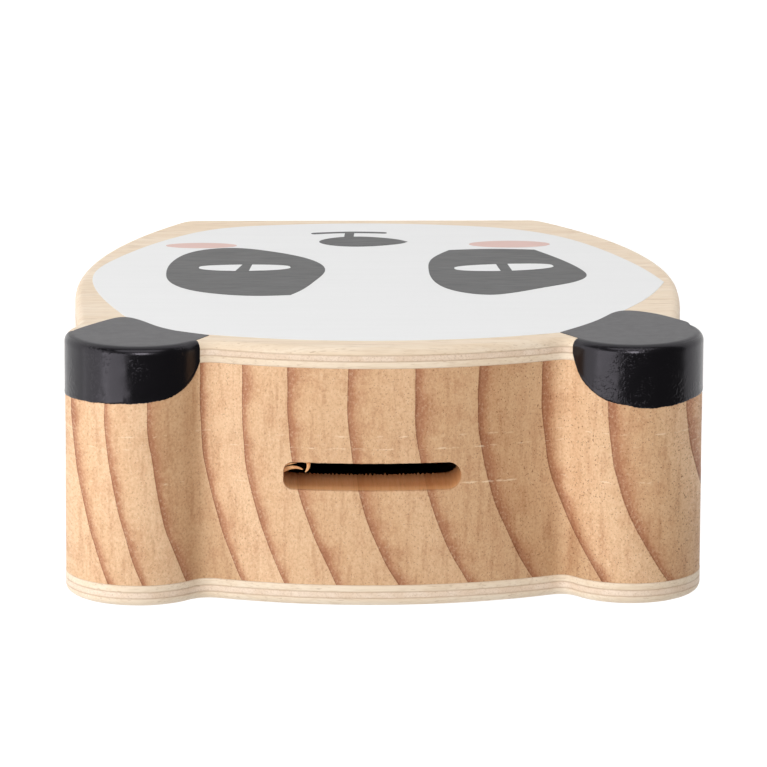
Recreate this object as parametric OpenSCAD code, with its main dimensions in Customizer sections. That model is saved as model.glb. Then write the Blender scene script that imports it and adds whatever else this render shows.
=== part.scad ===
// Money box in the shape of an animal's head with two round ears.
// A thick block, routed hollow, is closed by a three-ply panel at the front and another at the back.
// The coin slot goes through the crown, and a soft stopper fills a round hole in the back panel.
// The box stands on its flat base, z = 0, with its face towards -Y. All sizes are millimetres.
// Where a value is a list of two, the first is the animal's left side, +X, and the second its right side.

/* [Head] */
// Height of the crown above the base
head_h = 137.5; // [136:0.5:140]
// Radius of the crown's arc
crown_r = 96.6; // [92:0.2:102]
// Distance of the crown's highest point from the middle, towards the left ear
crown_x = 2.1; // [0:0.1:3]
// Half width of the head at its widest, left and right
cheek_x = [69, 68.3]; // [67:0.1:69.5]
// Height of the head's widest place, left and right
cheek_z = [77, 73]; // [70:0.5:80]
// Radius of the arc below the widest place, left and right
jaw_r = [130, 108]; // [105:1:135]
// Radius of the arc above the widest place, left and right
temple_r = [600, 260]; // [240:10:700]
// Radius of the corners at the base
base_r = 5.5; // [3:0.5:8]

/* [Ears] */
// Radius of each ear, left and right
ear_r = [16.5, 16.1]; // [15.5:0.1:17]
// Distance of each ear's centre from the middle, left and right
ear_x = [54.4, 54.8]; // [53.5:0.1:55.5]
// Height of each ear's centre, left and right
ear_z = [121, 120.6]; // [119.5:0.1:122]
// Radius of the hollow between each ear and the crown, left and right
crown_fillet = [5, 3]; // [2.5:0.5:7]
// Radius of the hollow between each ear and the temple, left and right
temple_fillet = [10, 8]; // [6:1:14]

/* [Boards] */
// Thickness of the pine block
block_t = 49; // [40:0.5:60]
// Thickness of the outer veneer of each panel
outer_veneer_t = 1.9; // [1.7:0.1:2.2]
// Thickness of the middle veneer of each panel
core_veneer_t = 1.4; // [1:0.1:2]
// Thickness of the veneer next to the block
inner_veneer_t = 1.6; // [1:0.1:2]

/* [Coin slot] */
// Length of the coin slot
slot_l = 39.1; // [30:0.1:44]
// Width of the coin slot
slot_w = 6.1; // [4:0.1:7]
// Distance of the slot's middle from the middle of the box, towards the left ear
slot_x = 2.9; // [-5:0.1:5]
// Corner radius of the slot's left end and of its right end
slot_end_r = [2, 3]; // [1:0.1:3]

/* [Coin chamber] */
// Thickness of the wall under the crown
crown_wall = 15.3; // [12:0.1:18]
// Thickness of the side walls
side_wall = 14; // [10:0.5:18]
// Thickness of the wall above the base
base_wall = 14; // [10:0.5:18]
// Corner radius of the chamber
chamber_r = 10; // [4:1:16]

/* [Stopper] */
// Diameter of the hole in the back panel
hole_d = 30; // [24:0.5:34]
// Height of the hole's centre above the base
hole_z = 38; // [34:0.5:60]
// Clearance between the stopper's neck and the hole, on the radius
neck_gap = 0.1; // [0.05:0.01:0.1]
// Width of the stopper's flange beyond the hole, on the radius
flange_w = 2.6; // [2:0.1:4]
// Length of the stopper's neck inside the chamber
neck_l = 5; // [3:0.5:8]

/* [Hidden] */

$fn = 96;
step_l = 2.2;                    // length of the straight steps that make an arc
past = 1;                        // how far a cut runs past the face it opens
panel_t = outer_veneer_t + core_veneer_t + inner_veneer_t;
depth = block_t + 2 * panel_t;
front_y = -depth / 2;
back_y = depth / 2;
crown_c = [crown_x, head_h - crown_r];

flange_gap = 0.4;                // between the flange and the edge of its recess, on the radius
flange_sink = 0.3;               // how far the flange lies below the back face
recess_r = hole_d / 2 + flange_w + flange_gap;
notch_r = 6;                     // thumb notch at the lower edge of the recess
notch_drop = 3;                  // how far the notch reaches below the recess
neck_wall = 2.2;
neck_floor = 1.5;
dish_r = 10;                     // shallow dish in the middle of the flange
dish_deep = 0.7;

pine = "#d9b48c";
veneer = "#ead9c0";
rubber = "#202022";

// Direction from point a to point b, in degrees
function bearing(a, b) = atan2(b[1] - a[1], b[0] - a[0]);

// The same direction counted from 0 to 360
function turned(angle) = (angle + 360) % 360;

// Points along an arc, without its last point, which is the next arc's first
function arc(c, r, a0, a1) =
    let (n = max(2, ceil(abs(a1 - a0) * PI / 180 * r / step_l)))
    [for (i = [0 : n - 1]) let (a = a0 + (a1 - a0) * i / n) c + r * [cos(a), sin(a)]];

// Crossing of a circle about a and one about b, on the right of the way from a to b
function meet(a, ra, b, rb) =
    let (d = norm(b - a), u = (b - a) / d, along = (ra * ra - rb * rb + d * d) / (2 * d))
    a + along * u + sqrt(ra * ra - along * along) * [u[1], -u[0]];

// Centre of a corner of radius r above the line at height z, inside the circle of radius big about c
function low_corner(c, big, z, r) =
    [c[0] + sqrt(pow(big - r, 2) - pow(c[1] - z - r, 2)), z + r];

// Crown centre, and jaw centre, as seen from side k, where +X points outwards
function crown_at(k) = [k == 0 ? crown_c[0] : -crown_c[0], crown_c[1]];
function jaw_at(k) = [cheek_x[k] - jaw_r[k], cheek_z[k]];

// One side of the head from the base up to the crown: corner, jaw, temple, hollow, ear, hollow, crown
function head_side(k) =
    let (
        top = crown_at(k),
        jaw = jaw_at(k),
        temple = [cheek_x[k] - temple_r[k], cheek_z[k]],
        ear = [ear_x[k], ear_z[k]],
        corner = low_corner(jaw, jaw_r[k], 0, base_r),
        low = meet(temple, temple_r[k] + temple_fillet[k], ear, ear_r[k] + temple_fillet[k]),
        high = meet(ear, ear_r[k] + crown_fillet[k], top, crown_r + crown_fillet[k])
    )
    concat(
        arc(corner, base_r, -90, bearing(jaw, corner)),
        arc(jaw, jaw_r[k], bearing(jaw, corner), 0),
        arc(temple, temple_r[k], 0, bearing(temple, low)),
        arc(low, temple_fillet[k], turned(bearing(low, temple)), turned(bearing(low, ear))),
        arc(ear, ear_r[k], bearing(ear, low), bearing(ear, high)),
        arc(high, crown_fillet[k], bearing(high, ear), bearing(high, top)),
        arc(top, crown_r, bearing(top, high), 90)
    );

// One side of the coin chamber from its floor up to the crown: corner, wall, corner, roof
function chamber_side(k) =
    let (
        top = crown_at(k),
        jaw = jaw_at(k),
        wall_r = jaw_r[k] - side_wall,
        roof_r = crown_r - crown_wall,
        low = low_corner(jaw, wall_r, base_wall, chamber_r),
        high = meet(top, roof_r - chamber_r, jaw, wall_r - chamber_r)
    )
    concat(
        arc(low, chamber_r, -90, bearing(jaw, low)),
        arc(jaw, wall_r, bearing(jaw, low), bearing(jaw, high)),
        arc(high, chamber_r, bearing(jaw, high), bearing(top, high)),
        arc(top, roof_r, bearing(top, high), 90)
    );

// Left side, the highest point, then the right side on the way down
function closed(left, right, top) =
    let (last = len(right) - 1)
    concat(left, [top], [for (i = [0 : last]) [-right[last - i][0], right[last - i][1]]]);

head_pts = closed(head_side(0), head_side(1), [crown_x, head_h]);
chamber_pts = closed(chamber_side(0), chamber_side(1), [crown_x, head_h - crown_wall]);

// A board of thickness t cut to a flat shape, with its front face at height y
module board(y, t) {
    translate([0, y + t, 0])
        rotate([90, 0, 0])
            linear_extrude(t)
                children();
}

// Turns +Z towards +Y at the centre of the hole, with z = 0 at the back face
module at_hole() {
    translate([0, back_y, hole_z])
        rotate([-90, 0, 0])
            children();
}

module head_shape() {
    polygon(head_pts);
}

module hole_shape(r) {
    translate([0, hole_z])
        circle(r);
}

module coin_slot() {
    roof_z = head_h - crown_wall - chamber_r;
    translate([slot_x, 0, roof_z])
        linear_extrude(head_h - roof_z + past)
            hull()
                for (end = [0, 1], side = [-1, 1])
                    let (r = slot_end_r[end], out = end == 0 ? 1 : -1)
                    translate([out * (slot_l / 2 - r), side * (slot_w / 2 - r)])
                        circle(r, $fn = 32);
}

module front_face_veneer() {
    color(veneer)
        board(front_y, outer_veneer_t)
            head_shape();
}

module front_core_veneer() {
    color(veneer)
        board(front_y + outer_veneer_t, core_veneer_t)
            head_shape();
}

module front_inner_veneer() {
    color(veneer)
        board(front_y + outer_veneer_t + core_veneer_t, inner_veneer_t)
            head_shape();
}

module pine_block() {
    color(pine)
        difference() {
            board(-block_t / 2, block_t)
                head_shape();
            board(-block_t / 2 - past, block_t + 2 * past)
                polygon(chamber_pts);
            coin_slot();
        }
}

module back_inner_veneer() {
    color(veneer)
        board(block_t / 2, inner_veneer_t)
            difference() {
                head_shape();
                hole_shape(hole_d / 2);
            }
}

module back_core_veneer() {
    color(veneer)
        board(block_t / 2 + inner_veneer_t, core_veneer_t)
            difference() {
                head_shape();
                hole_shape(hole_d / 2);
            }
}

module back_outer_veneer() {
    color(veneer)
        board(back_y - outer_veneer_t, outer_veneer_t)
            difference() {
                head_shape();
                hole_shape(recess_r);
                translate([0, notch_r - recess_r - notch_drop])
                    hole_shape(notch_r);
            }
}

module stopper() {
    neck_r = hole_d / 2 - neck_gap;
    seat = -outer_veneer_t;
    tip = -panel_t - neck_l;
    color(rubber)
        at_hole()
            difference() {
                union() {
                    translate([0, 0, seat])
                        cylinder(r = hole_d / 2 + flange_w, h = outer_veneer_t - flange_sink);
                    translate([0, 0, tip])
                        cylinder(r = neck_r, h = seat - tip);
                }
                translate([0, 0, -flange_sink - dish_deep])
                    cylinder(r = dish_r, h = dish_deep + past);
                translate([0, 0, tip - past])
                    cylinder(r = neck_r - neck_wall, h = seat - tip - neck_floor + past);
            }
}

front_face_veneer();
front_core_veneer();
front_inner_veneer();
pine_block();
back_inner_veneer();
back_core_veneer();
back_outer_veneer();
stopper();
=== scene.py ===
"""A money box in the shape of a panda's head: a routed pine block between two three-ply boards.

Metres, +Z up through the crown and its coin slot, the face towards -Y, the animal's left ear on +X.
The head's outline comes from the CAD boards. Solid pieces are that outline carried along a section,
and the print and the paint are thin films laid on the wood.
"""

import bmesh
import bpy
import numpy as np
from mathutils import Matrix, Vector


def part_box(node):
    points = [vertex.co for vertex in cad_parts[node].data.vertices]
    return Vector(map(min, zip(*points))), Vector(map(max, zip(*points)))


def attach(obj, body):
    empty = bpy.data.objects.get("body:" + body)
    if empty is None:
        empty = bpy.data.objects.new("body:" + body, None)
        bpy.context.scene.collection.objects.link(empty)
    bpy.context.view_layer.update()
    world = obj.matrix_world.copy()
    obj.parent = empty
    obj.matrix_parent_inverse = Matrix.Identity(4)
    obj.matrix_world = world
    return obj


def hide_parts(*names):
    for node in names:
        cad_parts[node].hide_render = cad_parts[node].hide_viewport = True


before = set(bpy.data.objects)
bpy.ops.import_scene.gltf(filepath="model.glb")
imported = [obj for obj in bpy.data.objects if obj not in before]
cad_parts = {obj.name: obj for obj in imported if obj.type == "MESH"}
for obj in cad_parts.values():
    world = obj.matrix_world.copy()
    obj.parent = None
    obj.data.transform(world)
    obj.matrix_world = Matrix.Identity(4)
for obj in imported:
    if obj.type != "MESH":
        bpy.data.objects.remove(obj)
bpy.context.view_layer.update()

MM = 0.001
BOX = "box"

# ---------------------------------------------------------------- places from the CAD parts
face_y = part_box("front_face_veneer")[0].y
front_core_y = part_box("front_core_veneer")[0].y
front_inner_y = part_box("front_inner_veneer")[0].y
pine_front_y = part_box("pine_block")[0].y
pine_back_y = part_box("pine_block")[1].y
back_core_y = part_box("back_core_veneer")[0].y
back_outer_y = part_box("back_outer_veneer")[0].y
back_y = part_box("back_outer_veneer")[1].y
crown_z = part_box("pine_block")[1].z
stopper_low, stopper_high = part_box("stopper")
hole_x, hole_z = (stopper_low.x + stopper_high.x) / 2, (stopper_low.z + stopper_high.z) / 2

# ---------------------------------------------------------------- sizes
OUTLINE_COUNT = 1200
MIDDLE = np.array([0.0, 70.0]) * MM      # a place inside the head that sees its whole outline
FLAT_CORNERS = 60                        # a face with this many corners or more is a flat cap
ROUNDOVER = 1.85 * MM                    # radius sanded on the outer edge of each panel
EASE = 0.045 * MM                        # broken edge of each veneer at a glue line
PRINT_DEEP = 0.16 * MM                   # bare wood of the face lies this far behind its box
WHITE_RISE = 0.07 * MM
COLOUR_RISE = 0.12 * MM
EAR_PAINT = 0.14 * MM
FILM_UNDER = 0.04 * MM                   # how far a film's hidden side lies in the wood
HOLE_R = 15.0 * MM
RECESS_R = 18.0 * MM
NOTCH_R = 6.0 * MM
NOTCH_BELOW = 15.0 * MM
RIM = 0.35 * MM                          # radius broken on the recess's edge


# ---------------------------------------------------------------- curves
def spline(points, closed=False):
    """A cubic through the points, as a function of chord length and its full length.

    Each coordinate between two knots is a line plus cubic terms of the knots' second derivatives,
    which come from the equations that make the slope continuous. An open one ends straight.
    """
    points = np.asarray(points, float)
    if closed:
        points = np.vstack([points, points[:1]])
    step = np.linalg.norm(np.diff(points, axis=0), axis=1)
    knots = np.concatenate([[0], np.cumsum(step)])
    rise = np.diff(points, axis=0) / step[:, None]
    count = len(step)
    if closed:
        i = np.arange(count)
        system = np.zeros((count, count))
        system[i, i] = 2 * (step + np.roll(step, 1))
        system[i, (i + 1) % count] += step
        system[i, (i - 1) % count] += np.roll(step, 1)
        bend = np.linalg.solve(system, 6 * (rise - np.roll(rise, 1, 0)))
        bend = np.vstack([bend, bend[:1]])
    else:
        i = np.arange(1, count)
        system = np.eye(count + 1)
        system[i, i] = 2 * (step[1:] + step[:-1])
        system[i, i + 1] = step[1:]
        system[i, i - 1] = step[:-1]
        right = np.zeros((count + 1, points.shape[1]))
        right[1:-1] = 6 * np.diff(rise, axis=0)
        bend = np.linalg.solve(system, right)

    def at(length):
        seg = np.clip(np.searchsorted(knots, length, side="right") - 1, 0, count - 1)
        width = step[seg][:, None]
        b = (length - knots[seg])[:, None] / width
        a = 1 - b
        curve = (a**3 - a) * bend[seg] + (b**3 - b) * bend[seg + 1]
        return a * points[seg] + b * points[seg + 1] + curve * width**2 / 6

    return at, knots[-1]


def evenly(points, count, closed=False):
    """The same line with count points at equal spacing."""
    if closed:
        points = np.vstack([points, points[:1]])
    run = np.concatenate([[0], np.cumsum(np.linalg.norm(np.diff(points, axis=0), axis=1))])
    where = np.linspace(0, run[-1], count, endpoint=not closed)
    return np.stack([np.interp(where, run, column) for column in points.T], 1)


def smooth(points, count, closed=False):
    """A spline through the points, at equal spacing."""
    at, length = spline(points, closed)
    return evenly(at(np.linspace(0, length, count * 6, endpoint=not closed)), count, closed)


def outward_normals(loop):
    """Unit normals of a closed loop that runs anticlockwise: its tangent turned a quarter clockwise."""
    along = np.roll(loop, -1, 0) - np.roll(loop, 1, 0)
    turned = np.stack([along[:, 1], -along[:, 0]], 1)
    return turned / np.linalg.norm(turned, axis=1)[:, None]


def ease(t):
    """Smooth step: 3t^2 - 2t^3 between 0 and 1."""
    t = np.clip(t, 0, 1)
    return t * t * (3 - 2 * t)


def ripple(turn, slow, fast, size, seed):
    """Gentle unevenness round an edge: cosines of whole turns from slow to fast, each at its own phase."""
    rng = np.random.default_rng(seed)
    waves = rng.integers(slow, fast, 12)
    phases = rng.uniform(0, 2 * np.pi, 12)
    return size * np.cos(np.outer(turn, waves) + phases).sum(1) / np.sqrt(12)


# ---------------------------------------------------------------- the head's outline
def front_corners(node):
    """The corners of a CAD piece's front face as (x, z), in order of bearing from the middle."""
    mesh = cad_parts[node].data
    places = np.empty(len(mesh.vertices) * 3, np.float32)
    mesh.vertices.foreach_get("co", places)
    places = places.reshape(-1, 3).astype(float)
    front = places[places[:, 1] < places[:, 1].min() + 0.01 * MM][:, [0, 2]]
    front = np.unique(front.round(6), axis=0)
    away = front - MIDDLE
    return front[np.argsort(np.arctan2(away[:, 1], away[:, 0]))]


def filled(points, gap):
    """The closed line with points added every gap along its long straights, so that a spline keeps them."""
    closed_line = np.vstack([points, points[:1]])
    steps = np.linalg.norm(np.diff(closed_line, axis=0), axis=1)
    run_length = np.concatenate([[0], np.cumsum(steps)])
    extra = np.arange(0, run_length[-1], gap)
    segment = np.searchsorted(run_length, extra, side="right") - 1
    room = np.minimum(extra - run_length[segment], run_length[segment + 1] - extra)
    extra = extra[(steps[segment] > 4 * gap) & (room > gap / 2)]
    where = np.sort(np.concatenate([run_length[:-1], extra]))
    return np.stack([np.interp(where, run_length, column) for column in closed_line.T], 1)


outline = smooth(filled(front_corners("front_core_veneer"), 1.2 * MM), OUTLINE_COUNT, closed=True)
normals = outward_normals(outline)
turns = np.linspace(0, 2 * np.pi, OUTLINE_COUNT, endpoint=False)
from_middle = outline - MIDDLE
bearings = np.arctan2(from_middle[:, 1], from_middle[:, 0])
at_ears = ease((outline[:, 1] - 104 * MM) / (10 * MM)) * ease((abs(outline[:, 0]) - 36 * MM) / (6 * MM))


def chamber_outline():
    """The coin chamber's wall on each of the outline's bearings, from the inner corners of the pine block."""
    corners = front_corners("pine_block") - MIDDLE
    reach = np.linalg.norm(corners, axis=1)
    bearing = np.arctan2(corners[:, 1], corners[:, 0])
    edge = np.interp(bearing, bearings, np.linalg.norm(from_middle, axis=1), period=2 * np.pi)
    inner = reach < 0.95 * edge
    wall = np.interp(bearings, bearing[inner], reach[inner], period=2 * np.pi)
    return MIDDLE + wall[:, None] * np.stack([np.cos(bearings), np.sin(bearings)], 1)


def ring(inset, y):
    """The outline moved inwards along its normals by inset, at depth y."""
    flat = outline - normals * np.broadcast_to(inset, OUTLINE_COUNT)[:, None]
    return flat_ring(flat, y)


def flat_ring(flat, y):
    """Points (x, z) placed at depth y, one for all or one each."""
    return np.stack([flat[:, 0], np.broadcast_to(y, len(flat)), flat[:, 1]], 1)


# ---------------------------------------------------------------- meshes
def quads(rows, columns, close_rows=False, close_columns=True):
    """The four corners of every cell of a grid of points numbered row by row."""
    r = np.arange(rows if close_rows else rows - 1)
    c = np.arange(columns if close_columns else columns - 1)
    r, c = np.meshgrid(r, c, indexing="ij")
    r1, c1 = (r + 1) % rows, (c + 1) % columns
    corners = [r * columns + c, r * columns + c1, r1 * columns + c1, r1 * columns + c]
    return np.stack(corners, -1).reshape(-1, 4)


def closed_mesh(name, places, faces):
    """A closed mesh with its faces turned outwards."""
    mesh = bpy.data.meshes.new(name)
    mesh.from_pydata(np.asarray(places).reshape(-1, 3).tolist(), [], faces)
    work = bmesh.new()
    work.from_mesh(mesh)
    bmesh.ops.recalc_face_normals(work, faces=work.faces)
    work.to_mesh(mesh)
    work.free()
    return mesh


def link(name, data):
    """A new object in the scene, at the origin."""
    made = bpy.data.objects.new(name, data)
    bpy.context.scene.collection.objects.link(made)
    return made


def piece(name, places, faces, finish, **rest):
    """A closed mesh with outward faces, settled as a piece."""
    return settle(name, closed_mesh(name, places, faces), finish, **rest)


def settle(name, mesh, finish, body=BOX, slot=None, replaces=(), crease=38):
    """Shades a mesh smooth up to the crease angle, and gives it its material, body and CAD nodes. The slot is
    not used.
    """
    mesh.set_sharp_from_angle(angle=np.radians(crease))
    mesh.polygons.foreach_set("use_smooth", [len(face.vertices) < FLAT_CORNERS for face in mesh.polygons])
    mesh.materials.clear()
    mesh.materials.append(finish)
    made = link(name, mesh)
    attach(made, body)
    if replaces:
        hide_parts(*replaces)
    return made


def capped(rows):
    """Points and faces of a stack of equal rings, closed by a flat face at each end."""
    places = np.concatenate(rows)
    count = len(rows[0])
    faces = quads(len(rows), count).tolist()
    faces.append(list(range(count))[::-1])
    faces.append(list(range(len(places) - count, len(places))))
    return places, faces


def looped(rows):
    """Points and faces of equal rings whose last joins the first, as round a tube."""
    return np.concatenate(rows), quads(len(rows), len(rows[0]), close_rows=True).tolist()


def slab(name, top, under, finish, **rest):
    """A thin piece between two equal grids of points, closed round their edge."""
    rows, columns = top.shape[:2]
    size = rows * columns
    faces = quads(rows, columns, close_columns=False)
    number = np.arange(size).reshape(rows, columns)
    edge = np.concatenate([number[0], number[1:, -1], number[-1, -2::-1], number[-2:0:-1, 0]])
    after = np.roll(edge, -1)
    sides = np.stack([edge, after, after + size, edge + size], 1)
    faces = np.concatenate([faces, faces[:, ::-1] + size, sides])
    places = np.concatenate([top.reshape(-1, 3), under.reshape(-1, 3)])
    return piece(name, places, faces.tolist(), finish, **rest)


# ---------------------------------------------------------------- wooden pieces
def eased_edge(inset, y0, y1):
    """Rings of a board's edge from y0 to y1, broken by EASE at each end."""
    rows = [ring(inset + EASE, y0), ring(inset + 0.3 * EASE, y0 + 0.3 * EASE)]
    rows += [ring(inset, y0 + EASE), ring(inset, (y0 + y1) / 2), ring(inset, y1 - EASE)]
    return rows + [ring(inset + 0.3 * EASE, y1 - 0.3 * EASE), ring(inset + EASE, y1)]


def edge_inset(seed):
    """How far a sanded edge lies inside the outline: a little unevenness, and room for the ears' paint."""
    size = 0.035 * MM
    return size * 1.6 + ripple(turns, 9, 70, size * 0.5, seed) + at_ears * EAR_PAINT


def roundover(inset, y, towards):
    """Rings of a quarter round of ROUNDOVER, from the board's face at y round to its edge."""
    return [ring(inset + ROUNDOVER * (1 - np.sin(angle)), y + towards * ROUNDOVER * (1 - np.cos(angle)))
            for angle in np.linspace(0, np.pi / 2, 12)]


def front_boards(finishes):
    """The three veneers of the front panel: a rounded face, a core and an inner veneer."""
    face, core, inner = edge_inset(11), edge_inset(12) + 0.03 * MM, edge_inset(13)
    rounded_face = roundover(face, face_y + PRINT_DEEP, 1)
    rounded_face += [ring(face, front_core_y - EASE), ring(face + EASE, front_core_y)]
    for name, rows, wood in (
        ("face", rounded_face, "face"),
        ("core", eased_edge(core, front_core_y, front_inner_y), "core"),
        ("inner", eased_edge(inner, front_inner_y, pine_front_y), "face"),
    ):
        piece(f"front_{name}_board", *capped(rows), finishes[wood], slot=f"{wood}_veneer",
              replaces=[f"front_{name}_veneer"])


def hole_ring(radius, y):
    """A ring about the stopper's hole on the outline's bearings from it; radius may vary with the bearing."""
    away = outline - [hole_x, hole_z]
    away /= np.linalg.norm(away, axis=1)[:, None]
    return flat_ring([hole_x, hole_z] + away * np.broadcast_to(radius, OUTLINE_COUNT)[:, None], y)


def recess_radius():
    """The recess's edge: the larger of its circle and of the thumb notch's far side, on each bearing."""
    away = outline - [hole_x, hole_z]
    away /= np.linalg.norm(away, axis=1)[:, None]
    across, down = NOTCH_BELOW * away[:, 0], -NOTCH_BELOW * away[:, 1]
    reach = down + np.sqrt(np.clip(NOTCH_R**2 - across**2, 0, None))
    return np.where((abs(across) < NOTCH_R) & (down > 0), np.maximum(reach, RECESS_R), RECESS_R)


def back_boards(finishes):
    """The three veneers of the back panel, with the stopper's hole, its recess and the thumb notch."""
    for name, y0, y1, wood, seed in (
        ("inner", pine_back_y, back_core_y, "face", 14),
        ("core", back_core_y, back_outer_y, "core", 15),
    ):
        rows = eased_edge(edge_inset(seed), y0, y1)
        rows += [hole_ring(HOLE_R, y1 - EASE / 4), hole_ring(HOLE_R, y0 + EASE / 4)]
        piece(f"back_{name}_board", *looped(rows), finishes[wood], slot=f"{wood}_veneer",
              replaces=[f"back_{name}_veneer"])
    back, recess = edge_inset(16), recess_radius()
    rows = [ring(back + EASE, back_outer_y), ring(back, back_outer_y + EASE)]
    rows += roundover(back, back_y, -1)[::-1]
    for angle in np.linspace(0, np.pi / 2, 5):
        rows.append(hole_ring(recess + RIM * (1 - np.sin(angle)), back_y - RIM * (1 - np.cos(angle))))
    rows.append(hole_ring(recess, back_outer_y))
    piece("back_outer_board", *looped(rows), finishes["face"], slot="face_veneer",
          replaces=["back_outer_veneer"])


def crown_height(x):
    """The height of the crown at x, from the outline between the ears."""
    top = outline[(outline[:, 1] > 128 * MM) & (abs(outline[:, 0]) < 34 * MM)]
    order = np.argsort(top[:, 0])
    return np.interp(x, top[order, 0], top[order, 1])


SLOT_X = 2.9 * MM
SLOT_LONG, SLOT_WIDE = 39.1 * MM, 6.1 * MM
SLOT_CORNERS = (2.0 * MM, 3.0 * MM)      # left end, right end
CROWN_WALL = 15.3 * MM
SLOT_COUNT = 420
SLOT_DEPTHS = [18, 15.6, 15.3, 15.0, 14.5, 13, 10, 7, 4, 2, 1.2, 0.7, 0.4, 0.2, 0.08, -0.3, -1.5]    # mm


def slot_loop():
    """The slot's outline seen from above: a rectangle whose two ends have their own corner radius."""
    points = []
    for side_x, side_y, start in ((1, -1, -90), (1, 1, 0), (-1, 1, 90), (-1, -1, 180)):
        r = SLOT_CORNERS[0] if side_x > 0 else SLOT_CORNERS[1]
        angle = np.radians(np.linspace(start, start + 90, 16))
        centre = np.array([side_x * (SLOT_LONG / 2 - r), side_y * (SLOT_WIDE / 2 - r)])
        points.append(centre + r * np.stack([np.cos(angle), np.sin(angle)], 1))
    return evenly(np.concatenate(points), SLOT_COUNT, closed=True)


def slot_cutter():
    """The slot's space: its outline at each depth below the crown, worn wide at the rim and torn below."""
    loop = slot_loop()
    out = outward_normals(loop)
    turn = np.linspace(0, 2 * np.pi, SLOT_COUNT, endpoint=False)
    chatter = ripple(turn, 20, 90, 0.015 * MM, 21)
    torn_rim = ripple(turn, 40, 190, 0.06 * MM, 22) + ripple(turn, 8, 40, 0.05 * MM, 23)
    torn_exit = ripple(turn, 30, 160, 0.16 * MM, 24)
    rows = []
    for depth in np.array(SLOT_DEPTHS) * MM:
        worn = np.exp(-max(depth, 0) / (0.22 * MM))
        exit_wear = np.exp(-abs(depth - CROWN_WALL) / (0.5 * MM))
        wide = 0.2 * MM * worn + torn_rim * worn + chatter + torn_exit * exit_wear
        flat = loop + out * wide[:, None] + [SLOT_X, 0]
        rows.append(np.stack([flat[:, 0], flat[:, 1], crown_height(flat[:, 0]) - depth], 1))
    return link("slot_cutter", closed_mesh("slot_cutter", *capped(rows)))


ROUTER_STEPS = ((-9.2 * MM, 0.04 * MM), (1.7 * MM, -0.03 * MM))     # depth y, change of inset


def pine_block(finish):
    """The block: the outline carried back past two faint router steps, hollow, and with the slot cut out."""
    inset = edge_inset(17) + 0.03 * MM
    rows = [ring(inset + EASE, pine_front_y), ring(inset + 0.3 * EASE, pine_front_y + 0.3 * EASE),
            ring(inset, pine_front_y + EASE)]
    for y, change in ROUTER_STEPS:
        rows.append(ring(inset, y - 0.15 * MM))
        inset = inset + change
        rows.append(ring(inset, y + 0.15 * MM))
    rows += [ring(inset, pine_back_y - EASE), ring(inset + 0.3 * EASE, pine_back_y - 0.3 * EASE),
             ring(inset + EASE, pine_back_y)]
    chamber = chamber_outline()
    rows += [flat_ring(chamber, pine_back_y), flat_ring(chamber, pine_front_y)]
    blank = piece("pine_blank", *looped(rows), finish)
    cutter = slot_cutter()
    cut = blank.modifiers.new("slot", "BOOLEAN")
    cut.operation = "DIFFERENCE"
    cut.solver = "EXACT"
    cut.object = cutter
    shaped = blank.evaluated_get(bpy.context.evaluated_depsgraph_get())
    mesh = bpy.data.meshes.new_from_object(shaped)
    mesh.name = "pine_body"
    for spare in (blank, cutter):
        bpy.data.objects.remove(spare)
    return settle("pine_body", mesh, finish, slot="pine", replaces=["pine_block"])


def splinters(finish):
    """Torn slivers that cling to the slot's left end: strips along a line, thickest at their root.

    Half the width falls as the square root of what is left of the line, and the section is a parabola.
    """
    for name, half, thick, *line in (
        ("long", 0.55, 0.3, (22.9, -0.4, 132.6), (21.2, -1.3, 133.4), (19.6, -1.5, 133.9), (18.2, -1.0, 133.7)),
        ("short", 0.55, 0.3, (17.6, -3.4, 133.2), (17.0, -2.5, 134.0), (17.1, -1.4, 134.2), (17.7, -0.4, 133.8)),
        ("small", 0.3, 0.2, (22.8, -1.6, 133.2), (21.4, -2.3, 134.0), (19.6, -2.6, 134.1)),
    ):
        middle = smooth(np.array(line) * MM, 40)
        along = np.gradient(middle, axis=0)
        across = np.cross(along, [0, 0, 1.0])
        across /= np.linalg.norm(across, axis=1)[:, None]
        taper = np.sqrt(np.linspace(1, 0.02, 40))[:, None] * half * MM
        share = np.linspace(-1, 1, 7)[None, :, None]
        top = middle[:, None] + across[:, None] * taper[:, None] * share
        crown = (1 - share**2) * np.linspace(1, 0.1, 40)[:, None, None] * [0, 0, thick * MM]
        slab(f"{name}_splinter", top + crown, top - crown - [0, 0, 0.02 * MM], finish, slot="pine")


# ---------------------------------------------------------------- print on the face
def run(*points, count):
    """A smooth line through points in millimetres, at equal spacing, without its last point."""
    return smooth(np.array(points) * MM, count)[:-1]


def film(name, loop, ink, finishes, rise=COLOUR_RISE):
    """A flat layer of print: its outline with a rounded edge, rise thick, over the bare wood of the face."""
    wood = face_y + PRINT_DEEP
    if np.sum(loop[:, 0] * np.roll(loop[:, 1], -1) - np.roll(loop[:, 0], -1) * loop[:, 1]) < 0:
        loop = loop[::-1]
    out = outward_normals(loop)
    rows = [flat_ring(loop, wood + FILM_UNDER)]
    for angle in np.linspace(0, np.pi / 2, 4):
        rows.append(flat_ring(loop - out * 0.6 * rise * (1 - np.cos(angle)), wood - rise * np.sin(angle)))
    return piece(name, *capped(rows), finishes[ink], slot=f"{ink}_print")


def ellipse(x, z, half_x, half_z):
    """An ellipse about (x, z), in millimetres."""
    angle = np.linspace(0, 2 * np.pi, 120, endpoint=False)
    return MM * np.stack([x + half_x * np.cos(angle), z + half_z * np.sin(angle)], 1)


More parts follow.
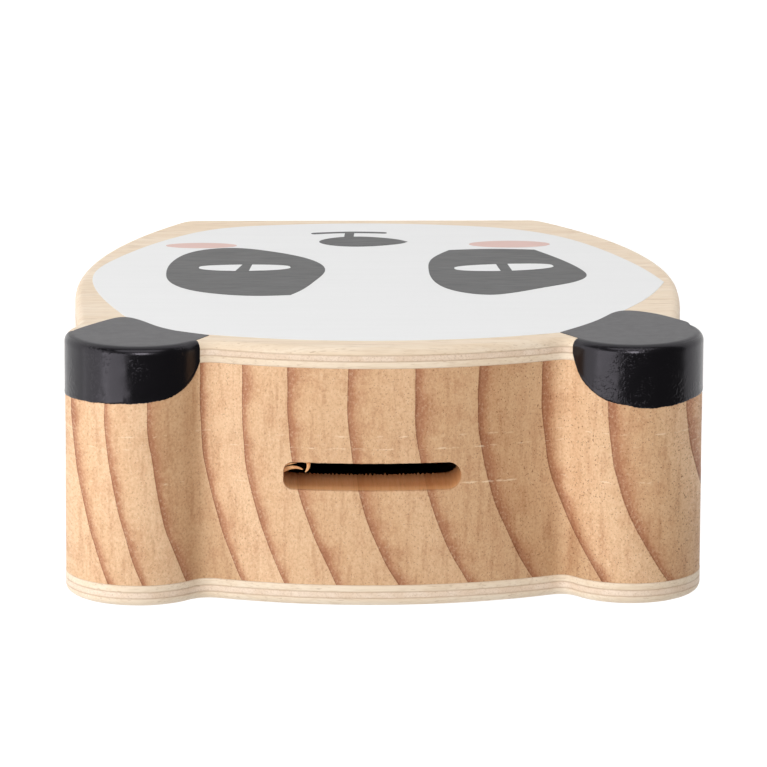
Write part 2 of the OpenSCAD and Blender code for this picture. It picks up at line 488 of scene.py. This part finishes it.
def slit_half(x, z, half_long, half_high, bar, lean, tilt, side):
    """Half of an eye slit, from the bar to its tip on one side: half_high times a power of 1 - t^2.

    The upper edge falls away slowly and the lower one late, and the cut beside the bar leans.
    """
    t = 1 - np.linspace(np.sqrt(1 - bar / half_long), 0, 60) ** 2
    upper, lower = half_high * (1 - t**2) ** 0.48, half_high * (1 - t**2) ** 0.3
    top = np.stack([side * t * half_long, upper], 1)
    low = np.stack([side * t[::-1] * half_long, -lower[::-1]], 1)
    lens = np.concatenate([top, low[1:]])
    lens[:, 0] += lean * lens[:, 1] * (1 - abs(lens[:, 0]) / half_long)
    turn = np.radians(tilt)
    turned = np.stack([lens[:, 0] * np.cos(turn) - lens[:, 1] * np.sin(turn),
                       lens[:, 0] * np.sin(turn) + lens[:, 1] * np.cos(turn)], 1)
    return evenly((turned + [x, z]) * MM, 130, closed=True)


def stroke(points, half):
    """A stroke of even width with round ends: the line's two sides half away, joined by half circles."""
    line = smooth(np.array(points) * MM, 60)
    along = np.gradient(line, axis=0)
    along /= np.linalg.norm(along, axis=1)[:, None]
    across = np.stack([along[:, 1], -along[:, 0]], 1) * half * MM
    turn = np.linspace(0, np.pi, 12)[1:-1, None]
    end = line[-1] + across[-1] * np.cos(turn) + along[-1] * half * MM * np.sin(turn)
    start = line[0] - across[0] * np.cos(turn) - along[0] * half * MM * np.sin(turn)
    return np.concatenate([line + across, end, (line - across)[::-1], start])


def face_print(finishes):
    """White ground, two dark patches with their slit eyes, cheeks, nose and mouth."""
    white = np.concatenate([
        run((57.6, 105), (61.7, 90.5), (64.5, 76), (65.2, 66), (64.1, 56), (60, 44.5), (54, 32.5), (46, 20.5),
            (35.5, 10.8), (24, 7.2), (2.5, 5.2), (-20, 7.6), (-35, 12.8), (-43.5, 19.8), (-50, 29), (-57, 43.5),
            (-62.5, 59), (-65.4, 70.5), count=420),
        run((-65.4, 70.5), (-62.3, 82), (-57.5, 94), (-54.3, 100.3), count=60),
        run((-54.3, 100.3), (-51, 106), (-45.5, 115.5), (-39.3, 123), count=40),
        run((-39.3, 122.2), (-24, 127.2), (-10, 129.5), (8, 130.1), (25.5, 127.7), (39, 123.8), count=140),
        run((39, 123.8), (43.3, 122.9), (47.3, 120.4), (52.5, 113.8), (57.6, 105), count=50),
    ])
    left_patch = run(
        (20.2, 83.8), (27.6, 84.6), (35.5, 83), (43.2, 78), (47.6, 69.5), (48.4, 61), (46, 44.5), (40.4, 35.5),
        (32.4, 33), (24.3, 36.6), (17.5, 42.4), (13.3, 49), (11.8, 56), (14.3, 68.7), (18, 79.5), (20.2, 83.8),
        count=260,
    )
    right_patch = np.concatenate([
        run((-37.5, 35.3), (-27, 34.4), (-17.5, 35.6), count=50),
        run((-17.5, 35.6), (-13.2, 45), (-12, 56), (-12.6, 68), (-16, 78), (-20.5, 82.4), (-25.5, 83.8),
            (-30, 82), (-38.8, 75.4), (-45.4, 69.8), (-48.1, 63.5), (-47.3, 57.4), (-43, 46), (-37.5, 35.3),
            count=220),
    ])
    film("white_ground", white, "white", finishes, WHITE_RISE)
    film("left_eye_patch", left_patch, "black", finishes)
    film("right_eye_patch", right_patch, "black", finishes)
    for name, x, z, half_long, half_high, outer_lean, inner_lean, tilt in (
        ("left", 30.3, 54.8, 10.6, 3.4, 0.3, 0.16, 1),
        ("right", -29.5, 54.9, 11.6, 3.7, 0.02, 0.02, 7),
    ):
        for end, side, lean in (("outer", np.sign(x), outer_lean), ("inner", -np.sign(x), inner_lean)):
            loop = slit_half(x, z, half_long, half_high, 1.3, lean, tilt, side)
            film(f"{name}_eye_slit_{end}", loop, "white", finishes, COLOUR_RISE + 0.03 * MM)
    film("left_cheek", ellipse(40.2, 30.2, 8.3, 2.9), "blush", finishes)
    film("right_cheek", ellipse(-31.9, 29.1, 9.5, 3.7), "blush", finishes)
    nose = run((-8.2, 26.3), (-6.6, 24.3), (-4, 22.5), (0.5, 20.8), (5.5, 20.5), (10, 22.3), (12.6, 26),
               (10.4, 29.7), (6, 31.4), (0.5, 31.2), (-4, 29.7), (-6.6, 28.2), (-8.2, 26.3), count=200)
    film("nose", nose, "black", finishes)
    mouth = stroke([(13.5, 16.8), (10, 16.1), (5.5, 15.6), (1, 15.7), (-2.8, 16.2)], 0.8)
    film("mouth_line", mouth, "black", finishes)
    stem = stroke([(5.5, 21.5), (5.4, 19), (5.2, 16.6)], 1.12)
    film("nose_stem", stem, "black", finishes, COLOUR_RISE + 0.01 * MM)


# ---------------------------------------------------------------- paint on the ears
def nearest(x, z):
    """The number of the outline's point nearest to (x, z), in millimetres."""
    return int(np.argmin(np.hypot(*(outline - np.array([x, z]) * MM).T)))


def rounded(t):
    """A quarter circle that rises from 0 at t = 0 to 1 at t = 1 and stays there."""
    t = np.clip(t, 0, 1)
    return np.sqrt(np.clip(1 - (1 - t) ** 2, 0, 1))


def ear_paint(name, first, last, border, depths, marks, seed, finish):
    """One ear's paint: from its border on the face, over the rounded edge and down the side.

    Columns follow the outline from first to last. A column runs straight from the border to the face's
    edge, along the quarter round, then back to a depth read from depths, (share of the way, y).
    The layer's height is its thickness times a quarter circle at each edge, with a bead where it ends.
    """
    u = np.concatenate([[0, 0.002, 0.005, 0.01], np.linspace(0.016, 0.984, 250), [0.99, 0.995, 0.998, 1]])
    index = nearest(*first) + u * (nearest(*last) - nearest(*first))
    number = np.arange(OUTLINE_COUNT)
    edge = np.stack([np.interp(index, number, outline[:, k]) for k in (0, 1)], 1)
    out = np.stack([np.interp(index, number, normals[:, k]) for k in (0, 1)], 1)
    inset = np.interp(index, number, edge_inset(11))[:, None]
    edge = edge - out * inset
    wood = face_y + PRINT_DEEP
    inner = edge - out * ROUNDOVER
    on_face = np.vstack([inner[:1], np.array(border) * MM, inner[-1:]])
    tip = evenly(np.concatenate([smooth(part, 80) for part in (on_face[:-1], on_face[-2:])]), 400)
    share = np.linspace(0, 1, 400)
    tip = np.stack([np.interp(u, share, tip[:, k]) for k in (0, 1)], 1)

    places, facing, height = [], [], []
    ends = rounded(u / 0.012) * rounded((1 - u) / 0.008)
    for k in np.concatenate([[0, 0.003, 0.008, 0.016, 0.03], np.linspace(0.08, 1, 16)]):
        flat = tip + (inner - tip) * k
        places.append(flat_ring(flat, wood))
        facing.append(flat_ring(0 * out, -1.0))
        height.append(ends * rounded(k / 0.016))
    for angle in np.linspace(0, np.pi / 2, 12)[1:]:
        flat = inner + out * ROUNDOVER * np.sin(angle)
        places.append(flat_ring(flat, wood + ROUNDOVER * (1 - np.cos(angle))))
        facing.append(flat_ring(out * np.sin(angle), -np.cos(angle)))
        height.append(ends)
    shares, ys = smooth(np.array(depths) * [20, 1], 200).T
    turn = 2 * np.pi * u
    stop = np.interp(u, shares / 20, ys * MM)
    stop = stop + ripple(turn, 4, 14, 0.05 * MM, seed) + ripple(turn, 20, 60, 0.035 * MM, seed + 1)
    start = wood + ROUNDOVER
    for k in np.concatenate([np.linspace(0, 0.94, 34)[1:], [0.955, 0.97, 0.98, 0.988, 0.994, 0.998, 1]]):
        y = start + (stop - start) * k
        left = stop - y
        bead = 1 + 0.5 * np.exp(-(((left - 0.45 * MM) / (0.3 * MM)) ** 2))
        places.append(flat_ring(edge, y))
        facing.append(flat_ring(out, 0.0))
        height.append(ends * rounded(left / (0.16 * MM)) * bead)
    places, facing, height = np.array(places), np.array(facing), np.array(height)
    layer = height * EAR_PAINT * 0.72
    for x, y, width, rise in marks:
        centre = outline[nearest(x, 140)]
        near = np.linalg.norm(places - [centre[0], y * MM, centre[1]], axis=2)
        layer += rise * MM * np.exp(-((near / (width * MM)) ** 2)) * height
    top = places + facing * (layer - 0.01 * MM)[..., None]
    slab(name, top, places - facing * FILM_UNDER, finish, slot="ear_paint")


def ears(finish):
    """Both ears' paint. Marks are (x, y, width, rise): pits below and bumps above the layer."""
    ear_paint(
        "left_ear_paint", (70.9, 119.6), (40.8, 131.0),
        [(68, 118.3), (61.8, 109.3), (57.5, 105.9), (54.8, 108), (51.6, 113.1), (46.3, 119.6), (42.3, 122.2),
         (38.7, 124.4)],
        [(0, -15.5), (0.3, -16.2), (0.55, -16.6), (0.72, -17.1), (0.82, -17.9), (0.88, -19.1), (0.94, -20.7),
         (0.97, -22.2), (1, -24.8)],
        [(65.5, -18.5, 0.8, -0.07), (63.5, -17.3, 0.6, -0.06), (57.5, -24, 1.2, 0.06), (56, -19, 0.9, 0.06),
         (58.5, -17.6, 0.5, 0.05)],
        31, finish,
    )
    ear_paint(
        "right_ear_paint", (-69.7, 114.6), (-41.0, 129.5),
        [(-68, 113.2), (-66.1, 109.6), (-60.2, 102.6), (-54.2, 100.2), (-49.8, 106.1), (-44.5, 114.9),
         (-38.8, 122.2)],
        [(0, -16.3), (0.22, -16.1), (0.38, -15.8), (0.5, -15.3), (0.62, -15.3), (0.7, -15.9), (0.79, -16.7),
         (0.85, -17.9), (0.91, -19.7), (0.97, -22.9), (1, -26.2)],
        [(-54, -18.5, 0.8, -0.07), (-56.5, -17.2, 0.6, -0.06), (-61, -22, 1.3, 0.05), (-50, -21, 1.0, 0.05)],
        41, finish,
    )


# ---------------------------------------------------------------- stopper
def stopper(finish):
    """The soft plug: a section of (radius, depth in from the back face) carried round the hole's axis.

    It has a dished flange on a seat, a neck with three ribs, and a hollow tip.
    """
    top = back_y - stopper_high.y
    tip = back_y - stopper_low.y
    flange = (stopper_high.x - stopper_low.x) / 2
    seat = back_y - back_outer_y
    neck = HOLE_R - 0.1 * MM
    groove, wall = neck - 0.35 * MM, neck - 2.2 * MM
    dish = [(9.2, 0.7), (9.8, 0.5), (10.3, 0.1), (10.8, 0.0)]
    section = [(radius * MM, top + deep * MM) for radius, deep in dish]
    section += [(flange - 0.5 * MM * (1 - np.sin(a)), top + 0.5 * MM * (1 - np.cos(a)))
                for a in np.linspace(0, np.pi / 2, 6)]
    section += [(flange, seat - 0.2 * MM), (flange - 0.2 * MM, seat), (neck - 0.5 * MM, seat),
                (groove, seat + 0.4 * MM)]
    for k in range(3):
        start = seat + (1.2 + 2.6 * k) * MM
        section += [(groove, start), (neck, start + 0.5 * MM), (neck, start + 0.9 * MM)]
        section.append((groove, start + 1.7 * MM))
    section += [(neck - 0.5 * MM, tip - 0.5 * MM), (neck - 0.9 * MM, tip), (neck - 2.0 * MM, tip),
                (wall, tip - 0.4 * MM), (wall, seat + 2.0 * MM), (neck - 2.8 * MM, seat + 1.5 * MM)]
    angle = np.linspace(0, 2 * np.pi, 160, endpoint=False)
    circle = np.stack([np.cos(angle), np.sin(angle)], 1)
    rows = [flat_ring([hole_x, hole_z] + radius * circle, back_y - deep) for radius, deep in section]
    piece("stopper_plug", *capped(rows), finish, body="stopper", slot="stopper_rubber", replaces=["stopper"],
          crease=50)


# ---------------------------------------------------------------- materials
def linear(red, green, blue):
    """A colour given by its display values, 0 to 255, as linear light."""
    value = np.array([red, green, blue]) / 255
    value = np.where(value <= 0.04045, value / 12.92, ((value + 0.055) / 1.055) ** 2.4)
    return (*value.tolist(), 1.0)


def put(tree, kind, *values, out=0, **settings):
    """Adds a node, feeds its inputs in order, with None skipping one, and returns one of its outputs."""
    node = tree.nodes.new("ShaderNode" + kind)
    for key, value in settings.items():
        setattr(node, key, value)
    for socket, value in zip(node.inputs, values):
        feed(tree, socket, value)
    return node.outputs[out]


def feed(tree, socket, value):
    """Links an output to a socket, or sets the socket's own value."""
    if value is None:
        return
    if isinstance(value, bpy.types.NodeSocket):
        tree.links.new(value, socket)
    else:
        socket.default_value = value


def maths(tree, operation, *values):
    return put(tree, "Math", *values, operation=operation)


def times(tree, a, b):
    return maths(tree, "MULTIPLY", a, b)


def plus(tree, a, b):
    return maths(tree, "ADD", a, b)


def minus(tree, a, b):
    return maths(tree, "SUBTRACT", a, b)


def mix(tree, factor, a, b, blend="MIX"):
    """Mixes two colours."""
    node = tree.nodes.new("ShaderNodeMix")
    node.data_type = "RGBA"
    node.blend_type = blend
    for number, value in ((0, factor), (6, a), (7, b)):
        feed(tree, node.inputs[number], value)
    return node.outputs[2]


def span(tree, value, low, high, to_low=0.0, to_high=1.0, kind="SMOOTHSTEP"):
    """Maps low..high to to_low..to_high, held at both ends."""
    return put(tree, "MapRange", value, low, high, to_low, to_high, interpolation_type=kind)


def fed(tree, kind, **inputs):
    """Adds a node, feeds its inputs by name, and returns its first output."""
    node = tree.nodes.new("ShaderNode" + kind)
    for key, value in inputs.items():
        feed(tree, node.inputs[key], value)
    return node.outputs[0]


def noise(tree, place, scale, detail=3.0, roughness=0.5):
    return fed(tree, "TexNoise", Vector=place, Scale=scale, Detail=detail, Roughness=roughness)


def stretched(tree, place, x, y, z):
    """The place with each axis scaled: a pattern is drawn out along the axis with the smallest scale."""
    return fed(tree, "Mapping", Vector=place, Scale=(x, y, z))


def finish_surface(tree, shader, tone, roughness, height, strength, distance):
    """Feeds the shader its colour where one is given, its roughness, and its relief from a height."""
    feed(tree, shader.inputs["Base Color"], tone)
    feed(tree, shader.inputs["Roughness"], roughness)
    relief = fed(tree, "Bump", Height=height, Strength=strength, Distance=distance * MM)
    feed(tree, shader.inputs["Normal"], relief)


def group(name, inputs, outputs, build):
    """A shared effect. Inputs and outputs are (name, socket kind, value); build draws it."""
    tree = bpy.data.node_groups.new(name, "ShaderNodeTree")
    for label, kind, value in inputs:
        socket = tree.interface.new_socket(label, in_out="INPUT", socket_type="NodeSocket" + kind)
        if value is not None:
            socket.default_value = value
    for label, kind in outputs:
        tree.interface.new_socket(label, in_out="OUTPUT", socket_type="NodeSocket" + kind)
    start, end = tree.nodes.new("NodeGroupInput"), tree.nodes.new("NodeGroupOutput")
    for socket, value in zip(end.inputs, build(tree, *start.outputs[: len(inputs)])):
        feed(tree, socket, value)
    return tree


def use(tree, effect, *values):
    """Places a shared effect and returns its node."""
    node = tree.nodes.new("ShaderNodeGroup")
    node.node_tree = effect
    for socket, value in zip(node.inputs, values):
        feed(tree, socket, value)
    return node


def new_finish(name, **constants):
    """A material with its shader, and the object's place in millimetres."""
    material = bpy.data.materials.new(name)
    material.use_nodes = True
    tree = material.node_tree
    shader = tree.nodes["Principled BSDF"]
    for key, value in constants.items():
        shader.inputs[key.replace("_", " ")].default_value = value
    place = put(tree, "TexCoord", out=3)
    place = stretched(tree, place, 1 / MM, 1 / MM, 1 / MM)
    return material, tree, shader, place


def build_fibres(tree, place, fineness):
    """Fibres along the compressed axis: broad streaks, fine streaks, and small dark pores."""
    broad = noise(tree, place, times(tree, fineness, 0.32), 4, 0.55)
    fine = noise(tree, place, times(tree, fineness, 2.4), 3, 0.6)
    pores = span(tree, noise(tree, place, times(tree, fineness, 3.3), 2, 0.5), 0.61, 0.7)
    return broad, fine, pores


def build_glue(tree, place, line, width):
    """A dark band of the given width about a glue line's depth."""
    depth = put(tree, "SeparateXYZ", place, out=1)
    off = maths(tree, "ABSOLUTE", minus(tree, depth, line))
    wobble = times(tree, noise(tree, place, 0.9, 3), 0.12)
    return (span(tree, minus(tree, off, wobble), 0.0, width, 1.0, 0.0),)


def shared_effects():
    place = ("Place", "Vector", None)
    fibres = group("fibres", [place, ("Fineness", "Float", 1.0)],
                   [("Broad", "Float"), ("Fine", "Float"), ("Pores", "Float")], build_fibres)
    glue = group("glue_line", [place, ("Line", "Float", 0.0), ("Width", "Float", 0.2)],
                 [("Band", "Float")], build_glue)
    return {"fibres": fibres, "glue": glue}


def veneer_finish(name, effects, pale, warm, deep, grain, seams):
    """Sanded veneer with its fibres along grain, and thin glue lines at the given depths in millimetres."""
    material, tree, shader, place = new_finish(name, Specular_IOR_Level=0.35)
    drawn = stretched(tree, place, *grain)
    wood = use(tree, effects["fibres"], drawn, 1.0)
    tone = mix(tree, span(tree, wood.outputs["Broad"], 0.3, 0.7), pale, warm)
    tone = mix(tree, times(tree, span(tree, wood.outputs["Fine"], 0.42, 0.75), 0.45), tone, deep)
    tone = mix(tree, times(tree, wood.outputs["Pores"], 0.35), tone, linear(150, 110, 75))
    for line in seams:
        band = use(tree, effects["glue"], place, line, 0.2).outputs[0]
        tone = mix(tree, times(tree, band, 0.35), tone, linear(160, 122, 88))
    fine = wood.outputs["Fine"]
    finish_surface(tree, shader, tone, span(tree, fine, 0.2, 0.8, 0.5, 0.68), fine, 0.25, 0.05)
    return material


# The dark line of each ring across the crown, in millimetres along X.
RINGS_X = (84, 69.2, 61.9, 52.5, 40.8, 31.9, 21.5, 8.4, -6.3, -20.3, -34.5, -48.7, -66.6, -85)
RING_TONES = ((0.0, linear(232, 195, 158)), (0.4, linear(231, 193, 155)), (0.68, linear(227, 187, 148)),
              (0.8, linear(219, 176, 138)), (0.87, linear(207, 158, 121)), (0.91, linear(192, 139, 105)),
              (0.97, linear(184, 131, 99)), (0.99, linear(156, 104, 74)), (1.0, linear(182, 134, 98)))
# The board's tone from its right side, 0, to its left, 1: the wood's own tone with painted light and shade,
# darkest on the left ear's slope by its notch.
BOARD_TONE_AND_PAINTED_SHADE = ((0.0, 0.99), (0.1, 1.02), (0.15, 0.8), (0.2, 0.8), (0.24, 0.9), (0.28, 0.95), (0.3, 0.76),
                (0.34, 0.7), (0.42, 0.75), (0.48, 0.84), (0.56, 0.83), (0.62, 0.86), (0.66, 0.9), (0.7, 0.96),
                (0.74, 0.98), (0.748, 0.76), (0.8, 0.78), (0.82, 0.94), (0.9, 0.94), (1.0, 0.92))
BEND_FROM, BEND_LONG = -17.0, 38.0       # the rings bend to the right behind this depth, over this length
BEND, BEND_LEFT = 9.2, 0.042             # how far they bend, and how much less for each millimetre to the left
EARS_Z = 110.0                           # below here the rings drift and close in
CLOSING = 0.0011                         # for each millimetre down
CROWN_TOP_X, CROWN_FALL = 2.1, 0.00518   # the crown falls by this times the square of the distance from its top
STEP_DEPTHS = (-9.2, -6.4, 1.7)          # where the router's passes met


def ramp(tree, value, stops):
    """A colour ramp through the stops, each a place and a colour."""
    node = tree.nodes.new("ShaderNodeValToRGB")
    feed(tree, node.inputs[0], value)
    elements = node.color_ramp.elements
    while len(elements) < len(stops):
        elements.new(0.5)
    for element, (position, colour) in zip(elements, stops):
        element.position = position
        element.color = colour
    return node.outputs[0]


def half_shade(shade):
    """Half of a shade as a colour that browns as it darkens: the shade's powers 1, 1.3 and 1.7."""
    return (shade / 2, shade**1.3 / 2, shade**1.7 / 2, 1)


def ring_count(tree, across):
    """Which ring a place lies in: a number that grows by one from each line of RINGS_X to the next."""
    low, high = RINGS_X[-1], RINGS_X[0]
    count = len(RINGS_X) - 1
    node = tree.nodes.new("ShaderNodeFloatCurve")
    feed(tree, node.inputs["Value"], span(tree, across, low, high, kind="LINEAR"))
    points = node.mapping.curves[0].points
    for number, ring_x in enumerate(RINGS_X[::-1]):
        if 0 < number < count:
            points.new((ring_x - low) / (high - low), number / count)
    node.mapping.update()
    return times(tree, node.outputs[0], float(count))


def across_rings(tree, place, x, y, z):
    """The place across the rings: x, bent towards the back, a little warped, and closing in below the ears."""
    back = maths(tree, "DIVIDE", maths(tree, "MAXIMUM", minus(tree, y, BEND_FROM), 0.0), BEND_LONG)
    lean = minus(tree, BEND, times(tree, x, BEND_LEFT))
    across = plus(tree, x, times(tree, times(tree, back, back), lean))
    warp = noise(tree, stretched(tree, place, 1, 1, 0.2), 0.06, 1)
    across = plus(tree, across, times(tree, minus(tree, warp, 0.5), 1.6))
    drift = minus(tree, noise(tree, stretched(tree, place, 0.5, 0.5, 1), 0.014, 1), 0.5)
    drift = times(tree, drift, span(tree, z, EARS_Z, 40))
    across = plus(tree, across, times(tree, drift, 6.0))
    closing = times(tree, maths(tree, "MAXIMUM", minus(tree, EARS_Z, z), 0.0), CLOSING)
    return times(tree, across, plus(tree, closing, 1.0))


def slot_wall(tree, x, y, z):
    """Where the slot's wall is: within its length and width, and below the crown's curve."""
    off = maths(tree, "POWER", minus(tree, x, CROWN_TOP_X), 2.0)
    crown = minus(tree, crown_z / MM, times(tree, off, CROWN_FALL))
    wide = maths(tree, "ABSOLUTE", minus(tree, x, SLOT_X / MM))
    inside = times(tree, span(tree, wide, 21.5, 20.5), span(tree, maths(tree, "ABSOLUTE", y), 4.6, 3.9))
    return times(tree, inside, span(tree, minus(tree, crown, z), 0.15, 1.4))


def pine_finish(effects):
    """Pine with end grain on the crown: each ring starts at a sharp dark line and pales towards its right."""
    material, tree, shader, place = new_finish("pine_end_grain", Specular_IOR_Level=0.3)
    x, y, z = (put(tree, "SeparateXYZ", place, out=k) for k in range(3))
    across = across_rings(tree, place, x, y, z)
    wood = use(tree, effects["fibres"], stretched(tree, place, 1, 0.7, 0.04), 0.95)
    broad, fine, pores = wood.outputs[:3]
    patchy = noise(tree, stretched(tree, place, 0.3, 1, 0.1), 0.16, 3)
    late = maths(tree, "FRACT", ring_count(tree, across))
    late = maths(tree, "POWER", late, span(tree, patchy, 0.3, 0.7, 0.72, 1.5))
    tone = ramp(tree, late, RING_TONES)
    streaks = noise(tree, stretched(tree, place, 1, 0.13, 0.03), 0.7, 4, 0.6)
    for share, darker in (
        (span(tree, streaks, 0.47, 0.7, 0.0, 0.62), (0.78, 0.68, 0.62, 1)),
        (span(tree, broad, 0.45, 0.72, 0.0, 0.5), (0.86, 0.75, 0.7, 1)),
        (span(tree, fine, 0.45, 0.75, 0.0, 0.62), (0.74, 0.66, 0.58, 1)),
    ):
        tone = mix(tree, share, tone, darker, "MULTIPLY")
    tone = mix(tree, span(tree, fine, 0.5, 0.25, 0.0, 0.32), tone, linear(246, 222, 190))
    pores = times(tree, pores, span(tree, across, 30, -60, 0.4, 0.8))
    tone = mix(tree, pores, tone, linear(134, 86, 52))
    # Painted shade mixed into the wood's tone: the board darkened across its width where its slopes face away
    # from the light.
    side = span(tree, across, RINGS_X[-1], RINGS_X[0], kind="LINEAR")
    shade = ramp(tree, side, [(position, half_shade(shade)) for position, shade in BOARD_TONE_AND_PAINTED_SHADE])
    tone = mix(tree, 1.0, tone, mix(tree, 1.0, shade, (2, 2, 2, 1), "MULTIPLY"), "MULTIPLY")
    dashes = noise(tree, stretched(tree, place, 0.45, 2, 0.1), 1.0, 2)
    dashes = span(tree, dashes, 0.53, 0.68, 0.0, 0.4)
    for depth in STEP_DEPTHS:
        off = maths(tree, "ABSOLUTE", minus(tree, y, depth))
        dash = times(tree, dashes, span(tree, off, 0.08, 0.3, 1.0, 0.0))
        tone = mix(tree, dash, tone, linear(247, 226, 194))
    # Painted light in the slot: its wall mixed towards a bright warm orange, the long grain's own warmer tone
    # brightened to stand in for light reaching down into the slot.
    wall = times(tree, slot_wall(tree, x, y, z), 0.6)
    tone = mix(tree, wall, tone, linear(236, 178, 118))
    finish_surface(tree, shader, tone, span(tree, fine, 0.2, 0.8, 0.52, 0.7), fine, 0.35, 0.06)
    return material


def print_finish(name, colour, roughness, effects, relief=0.0):
    """Flat print over veneer: an even colour, with as much of the grain's relief along X as shows through."""
    material, tree, shader, place = new_finish(name, Specular_IOR_Level=0.3)
    wood = use(tree, effects["fibres"], stretched(tree, place, 0.06, 1, 1), 1.2)
    fine = wood.outputs["Fine"]
    darker = tuple(0.985 * part for part in colour[:3]) + (1.0,)
    tone = mix(tree, span(tree, wood.outputs["Broad"], 0.25, 0.75), colour, darker)
    matt = span(tree, fine, 0.2, 0.8, roughness - 0.05, roughness + 0.07)
    finish_surface(tree, shader, tone, matt, fine, relief, 0.04)
    return material


def gloss_finish(effects):
    """Thick black paint: flat on the face, where the grain shows through, and glossy and lumpy on the side."""
    material, tree, shader, place = new_finish("gloss_black_paint", Specular_IOR_Level=0.4)
    shader.inputs["Base Color"].default_value = linear(8, 7, 9)
    shader.inputs["Specular Tint"].default_value = (0.95, 0.89, 1.0, 1.0)
    depth = put(tree, "SeparateXYZ", place, out=1)
    on_side = span(tree, depth, face_y / MM + 0.2, face_y / MM + 0.7)
    wood = use(tree, effects["fibres"], stretched(tree, place, 0.06, 1, 1), 1.2)
    peel = noise(tree, place, 0.5, 2)
    lumps = span(tree, noise(tree, place, 1.5, 2), 0.5, 0.7)
    lumpy = span(tree, noise(tree, stretched(tree, place, 1, 0.6, 1), 0.16, 1), 0.5, 0.62)
    shine = plus(tree, span(tree, on_side, 0, 1, 0.35, 0.2), times(tree, peel, 0.08))
    height = plus(tree, peel, times(tree, times(tree, lumps, lumpy), 1.1))
    height = mix(tree, on_side, wood.outputs["Fine"], height)
    finish_surface(tree, shader, None, shine, height, 0.42, 0.08)
    return material


def rubber_finish():
    """Soft dark rubber with a fine moulded grain."""
    material, tree, shader, place = new_finish("soft_rubber", Specular_IOR_Level=0.4)
    grain = noise(tree, place, 5, 3)
    dust = noise(tree, place, 0.25, 4)
    tone = mix(tree, span(tree, dust, 0.45, 0.75), linear(40, 40, 42), linear(54, 53, 52))
    finish_surface(tree, shader, tone, span(tree, grain, 0.2, 0.8, 0.5, 0.68), grain, 0.2, 0.05)
    return material


def make_finishes():
    effects = shared_effects()
    seams = [y / MM for y in (front_core_y, front_inner_y, pine_front_y, pine_back_y, back_core_y, back_outer_y)]
    face_tones = (linear(232, 215, 193), linear(225, 204, 178), linear(205, 178, 148))
    core_tones = (linear(230, 210, 190), linear(222, 198, 174), linear(196, 168, 140))
    return {
        "face": veneer_finish("pale_veneer", effects, *face_tones, (0.05, 1, 1), seams),
        "core": veneer_finish("cross_veneer", effects, *core_tones, (1, 1, 0.05), seams),
        "pine": pine_finish(effects),
        "white": print_finish("white_print", linear(226, 226, 226), 0.6, effects),
        "black": print_finish("black_print", linear(40, 40, 40), 0.4, effects, relief=0.3),
        "blush": print_finish("pink_print", linear(214, 182, 174), 0.6, effects),
        "gloss": gloss_finish(effects),
        "rubber": rubber_finish(),
    }


# ---------------------------------------------------------------- camera, light and floor
EYE = Vector((44.7, -372.0, 1631.5)) * MM
TARGET = Vector((0.63, -21.3, 137.5)) * MM
ROLL = -0.265
LENS = 328.6


def camera():
    """A long lens high above the crown, looking down the face, with the face's side of the box at the top."""
    data = bpy.data.cameras.new("camera")
    data.sensor_width = 36
    data.lens = LENS
    data.clip_start, data.clip_end = 0.05, 60
    made = link("camera", data)
    forward = (TARGET - EYE).normalized()
    right = forward.cross(Vector((0, -1, 0))).normalized()
    up = right.cross(forward)
    turn = Matrix.Rotation(np.radians(ROLL), 3, forward)
    axes = Matrix((turn @ right, turn @ up, -forward)).transposed()
    made.matrix_world = Matrix.Translation(EYE) @ axes.to_4x4()
    bpy.context.scene.camera = made


def soft_light(name, place, wide, high, power):
    """A rectangular soft light at a place, facing the middle of the box."""
    data = bpy.data.lights.new(name, "AREA")
    data.shape = "RECTANGLE"
    data.size, data.size_y = wide, high
    data.energy = power
    made = link(name, data)
    made.location = place
    made.rotation_euler = (Vector((0, 0, 0.08)) - Vector(place)).to_track_quat("-Z", "Y").to_euler()


def studio():
    """A white floor, a pale surround, and soft lights: two left, one over the face, one in front, one behind."""
    edge = 6.0
    mesh = bpy.data.meshes.new("floor")
    corners = [(-edge, -edge, 0), (edge, -edge, 0), (edge, edge, 0), (-edge, edge, 0)]
    mesh.from_pydata(corners, [], [(0, 1, 2, 3)])
    material, _, shader, _ = new_finish("white_floor", Roughness=0.8, Specular_IOR_Level=0.1)
    shader.inputs["Base Color"].default_value = (0.25, 0.25, 0.25, 1)
    shader.inputs["Emission Color"].default_value = (1, 1, 1, 1)
    shader.inputs["Emission Strength"].default_value = 0.86
    mesh.materials.append(material)
    link("floor", mesh)

    world = bpy.data.worlds.new("surround")
    bpy.context.scene.world = world
    world.use_nodes = True
    tree = world.node_tree
    ground = tree.nodes["Background"]
    ground.inputs["Color"].default_value = (1, 1, 1, 1)
    seen = put(tree, "LightPath", out=0)
    feed(tree, ground.inputs["Strength"], span(tree, seen, 0, 1, 0.12, 0.92, kind="LINEAR"))

    for name, place, wide, high, power in (
        ("left_softbox", (0.98, 0.0, 1.3), 1.15, 1.0, 10),
        ("left_card", (0.6, 0.0, 0.3), 0.9, 0.5, 2.2),
        ("over_softbox", (-0.1, -0.75, 1.75), 0.7, 0.5, 12),
        ("back_softbox", (0.0, 1.5, 1.2), 1.8, 1.0, 11),
        ("front_softbox", (0.0, -1.6, 1.0), 1.8, 0.9, 10),
    ):
        soft_light(name, place, wide, high, power)


# ---------------------------------------------------------------- the whole
camera()
finishes = make_finishes()
front_boards(finishes)
back_boards(finishes)
pine_block(finishes["pine"])
splinters(finishes["pine"])
face_print(finishes)
ears(finishes["gloss"])
stopper(finishes["rubber"])
studio()
bpy.context.scene.view_settings.view_transform = "Standard"
